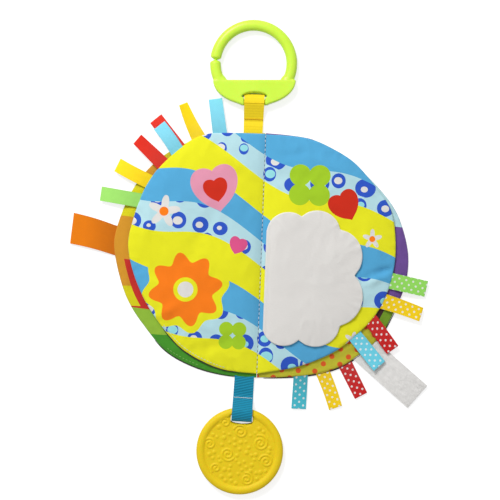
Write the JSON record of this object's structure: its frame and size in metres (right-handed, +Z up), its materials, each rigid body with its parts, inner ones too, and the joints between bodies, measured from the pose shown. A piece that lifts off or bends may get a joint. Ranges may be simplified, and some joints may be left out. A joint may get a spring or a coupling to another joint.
{
  "type": "crinkle cloth book",
  "caption": "Padded cloth book for a baby, open flat, with ribbon tags, a lift-up cloud flap, a hanging link on a strap and a round teether on a ribbon.",
  "frame": {"origin": "middle of the spine, on the table that the open book lies on", "axes": "+X to the reader's right, +Y up the page towards the hanging link, +Z up from the table"},
  "size_m": [0.2571, 0.3331, 0.009],
  "materials": {
    "left_page_front": "printed polyester",
    "left_page_back": "printed polyester",
    "right_page_front": "printed polyester",
    "right_page_back": "printed polyester",
    "left_cover_front": "printed polyester",
    "left_cover_back": "printed polyester",
    "right_cover_front": "printed polyester",
    "right_cover_back": "printed polyester",
    "crinkle_film": "thin crinkling film",
    "spine_thread": "sewn seam",
    "flap_cloth": "plain off-white cloth",
    "satin_light_blue": "satin ribbon",
    "satin_yellow": "satin ribbon",
    "satin_red": "satin ribbon",
    "satin_green": "satin ribbon",
    "orange_ribbon": "wide satin ribbon",
    "dotted_green": "ribbon with white dots",
    "dotted_yellow": "ribbon with white dots",
    "dotted_red": "ribbon with white dots",
    "dotted_light_blue": "ribbon with white dots",
    "dotted_teal": "ribbon with white dots",
    "white_label": "blank satin label",
    "yellow_webbing": "ribbed webbing",
    "lime_plastic": "moulded, satin gloss",
    "teal_grosgrain": "ribbed grosgrain",
    "yellow_silicone": "moulded silicone"
  },
  "bodies": {
    "right_cover": {"right_cover_front_panel": "right_cover_front", "right_cover_crinkle_film": "crinkle_film", "right_cover_back_panel": "right_cover_back", "spine_seam": "spine_thread", "right_white_label": "white_label", "lower_teal_dotted_tag": "dotted_teal", "lower_yellow_dotted_tag": "dotted_yellow", "lower_red_dotted_tag": "dotted_red"},
    "left_cover": {"left_cover_front_panel": "left_cover_front", "left_cover_crinkle_film": "crinkle_film", "left_cover_back_panel": "left_cover_back", "left_orange_wide_tag": "orange_ribbon"},
    "left_page": {"left_page_front_panel": "left_page_front", "left_page_crinkle_film": "crinkle_film", "left_page_back_panel": "left_page_back", "left_light_blue_tag_upper": "satin_light_blue", "left_yellow_tag_upper": "satin_yellow", "left_red_tag_upper": "satin_red", "left_light_blue_tag_lower": "satin_light_blue", "left_red_tag_lower": "satin_red", "left_yellow_tag_lower": "satin_yellow", "left_green_tag": "satin_green"},
    "right_page": {"right_page_front_panel": "right_page_front", "right_page_crinkle_film": "crinkle_film", "right_page_back_panel": "right_page_back", "right_green_dotted_tag": "dotted_green", "right_yellow_dotted_tag": "dotted_yellow", "right_red_dotted_tag": "dotted_red", "right_light_blue_dotted_tag": "dotted_light_blue"},
    "cloud_flap": {"cloud_flap": "flap_cloth"},
    "hanging_strap": {"hanging_strap": "yellow_webbing"},
    "hanging_link": {"hanging_link": "lime_plastic"},
    "teether_strap": {"teether_strap": "teal_grosgrain"},
    "teether": {"teether": "yellow_silicone"}
  },
  "joints": [
    {"name": "book_close", "type": "hinge", "parent": "right_cover", "child": "left_cover", "pos_m": [0, 0, 0.0083], "axis": [0, 1, 0], "range_deg": [0, 175]},
    {"name": "left_page_turn", "type": "hinge", "parent": "left_cover", "child": "left_page", "pos_m": [0, 0, 0.0083], "axis": [0, -1, 0], "range_deg": [-175, 0]},
    {"name": "right_page_turn", "type": "hinge", "parent": "right_cover", "child": "right_page", "pos_m": [0, 0, 0.0083], "axis": [0, 1, 0], "range_deg": [-175, 0]},
    {"name": "flap_lift", "type": "hinge", "parent": "right_page", "child": "cloud_flap", "pos_m": [0.003, -0.0162, 0.0083], "axis": [0, -1, 0], "range_deg": [0, 178]},
    {"name": "hanging_strap_swing", "type": "hinge", "parent": "left_cover", "child": "hanging_strap", "pos_m": [-0.0089, 0.0858, 0.00095], "axis": [1, 0, 0], "range_deg": [-80, 80]},
    {"name": "link_swing", "type": "hinge", "parent": "hanging_strap", "child": "hanging_link", "pos_m": [-0.0089, 0.1054, 0.0036], "axis": [1, 0, 0], "range_deg": [-70, 70]},
    {"name": "teether_strap_swing", "type": "hinge", "parent": "left_cover", "child": "teether_strap", "pos_m": [-0.0086, -0.0884, 0.00095], "axis": [-1, 0, 0], "range_deg": [-80, 80]},
    {"name": "teether_swing", "type": "hinge", "parent": "teether_strap", "child": "teether", "pos_m": [-0.0086, -0.1113, 0.00429], "axis": [-1, 0, 0], "range_deg": [-70, 70]}
  ]
}
